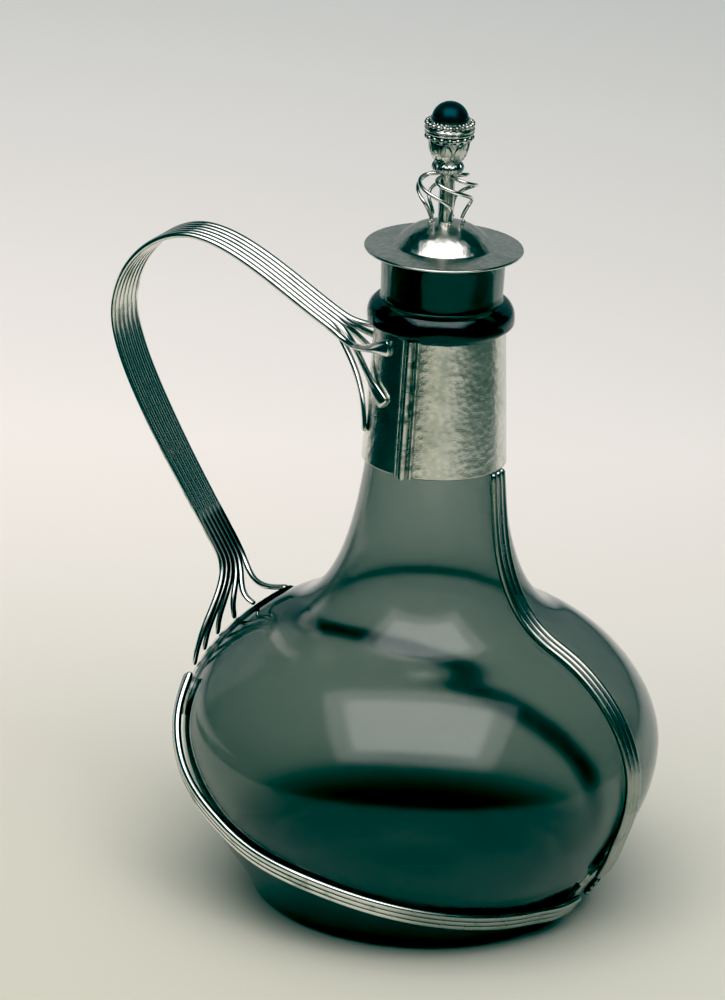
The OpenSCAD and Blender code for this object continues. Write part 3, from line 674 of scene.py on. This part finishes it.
print("camera at", tuple(round(part, 3) for part in spot))

# %% [markdown]
# The paper is one plane. The photograph's paper is brightest at middle distance, so its colour follows a
# ramp along the direction of view, which is painted light. Towards the right it is a little greyer, which
# is painted shade.

# %% The paper
FLOOR_HALF = 6.0
PAINTED_LIGHT_START = -0.2
PAINTED_LIGHT_LENGTH = 1.2
SHADE_FROM = -0.25
SHADE_TO = 0.35


def paper():
    finish = Finish("paper")
    turned = {"Vector": finish.place(), "Rotation": (0, 0, CAMERA_AZIMUTH)}
    place = finish.add("ShaderNodeMapping", {"vector_type": "TEXTURE"}, turned)
    depth = finish.add("ShaderNodeSeparateXYZ", None, {0: place}, output=1)
    across = finish.add("ShaderNodeSeparateXYZ", None, {0: place}, output=0)
    share = (depth - PAINTED_LIGHT_START) / PAINTED_LIGHT_LENGTH
    # The ramp's stops are painted light: the paper is brightest at middle distance and darker near the camera
    # and far away.
    stops = [
        (0.0, (0.53, 0.53, 0.43)), (0.2, (0.62, 0.61, 0.52)), (0.45, (0.90, 0.86, 0.81)),
        (0.75, (0.80, 0.79, 0.76)), (1.0, (0.68, 0.70, 0.68)),
    ]
    along = finish.add("ShaderNodeValToRGB", {"stops": stops}, {0: share})
    # Painted shade: the paper turns greyer towards the right.
    colour = finish.mix(across.above(SHADE_FROM, SHADE_TO) * 0.4, along, (0.50, 0.53, 0.51, 1))
    return finish.surface(Base_Color=colour, Roughness=0.9, Specular_IOR_Level=0.0).material


bm = bmesh.new()
bmesh.ops.create_grid(bm, x_segments=1, y_segments=1, size=FLOOR_HALF)
floor_mesh = bpy.data.meshes.new("paper")
bm.to_mesh(floor_mesh)
bm.free()
floor = bpy.data.objects.new("paper", floor_mesh)
floor.data.materials.append(paper())
bpy.context.scene.collection.objects.link(floor)
print("paper:", FLOOR_HALF * 2, "m wide")

# %% [markdown]
# One large soft light hangs high in front of the jug, with a brighter one inside it, as a lamp behind
# cloth is brightest in the middle. They give the white lines on the wires and the glow in the glass. A
# very wide fill, which nothing mirrors, keeps the shadow on the paper light. Behind the jug the paper of
# a real studio rises, and a dim light in its place gives the greys on the lid's brim and the handle. The
# rest of the studio is dark, which draws the dark edges.

# %% The lights
BELLY = (0, 0, 0.08)


def soft_light(name, place, aim, width, height, radiance):
    """A rectangle of even radiance. An area light's power is its radiance times pi times its area."""
    data = bpy.data.lights.new(name, "AREA")
    data.shape = "RECTANGLE"
    data.size = width
    data.size_y = height
    data.energy = radiance * math.pi * width * height
    light = bpy.data.objects.new(name, data)
    direction = Vector(aim) - Vector(place)
    light.rotation_mode = "QUATERNION"
    light.rotation_quaternion = direction.to_track_quat("-Z", "Y")
    light.location = place
    bpy.context.scene.collection.objects.link(light)
    return light


soft_light("high_front", (0.20, -0.50, 1.28), BELLY, 1.95, 1.35, 1.3)
soft_light("high_front_core", (0.19, -0.49, 1.25), BELLY, 1.35, 0.85, 1.9)
fill = soft_light("fill", (0, 0.3, 2.6), (0, 0.3, 0), 5.0, 5.0, 0.85)
fill.visible_glossy = fill.visible_transmission = False
raised_paper = soft_light("raised_paper", (-0.59, 1.27, 0.62), (0, 0, 0.2), 3.6, 1.1, 0.25)
raised_paper.visible_camera = False
STUDIO_DARK = (0.008, 0.024, 0.024, 1)
world = bpy.data.worlds.new("studio")
world.use_nodes = True
world.node_tree.nodes["Background"].inputs[0].default_value = STUDIO_DARK
bpy.context.scene.world = world
print("lights:", len(bpy.data.lights))

# %% [markdown]
# A photographer of silver puts dark cards beside the paper, out of the picture, so that the metal has
# something dark to mirror. Two cards do that here. They lie beside the strip of paper that runs towards
# the camera, and only mirrored light sees them.

# %% Dark cards
CARD_LENGTH = 3.0


def dark_card(name, side, edge, behind, colour):
    bm = bmesh.new()
    bmesh.ops.create_grid(bm, x_segments=1, y_segments=1, size=CARD_LENGTH / 2)
    shift = Vector((side * (edge + CARD_LENGTH / 2), behind - CARD_LENGTH / 2, MM))
    bmesh.ops.translate(bm, verts=bm.verts, vec=shift)
    bmesh.ops.rotate(bm, verts=bm.verts, cent=(0, 0, 0), matrix=Matrix.Rotation(CAMERA_AZIMUTH, 3, "Z"))
    mesh = bpy.data.meshes.new(name)
    bm.to_mesh(mesh)
    bm.free()
    card = bpy.data.objects.new(name, mesh)
    card.data.materials.append(Finish(name).surface(Base_Color=colour, Specular_IOR_Level=0.0).material)
    card.visible_camera = card.visible_diffuse = card.visible_transmission = card.visible_shadow = False
    bpy.context.scene.collection.objects.link(card)


dark_card("left_card", -1, 0.27, 0.26, (0.004, 0.02, 0.02, 1))
dark_card("right_card", 1, 0.38, 0.20, (0.11, 0.13, 0.11, 1))
print("cards:", CARD_LENGTH, "m square")
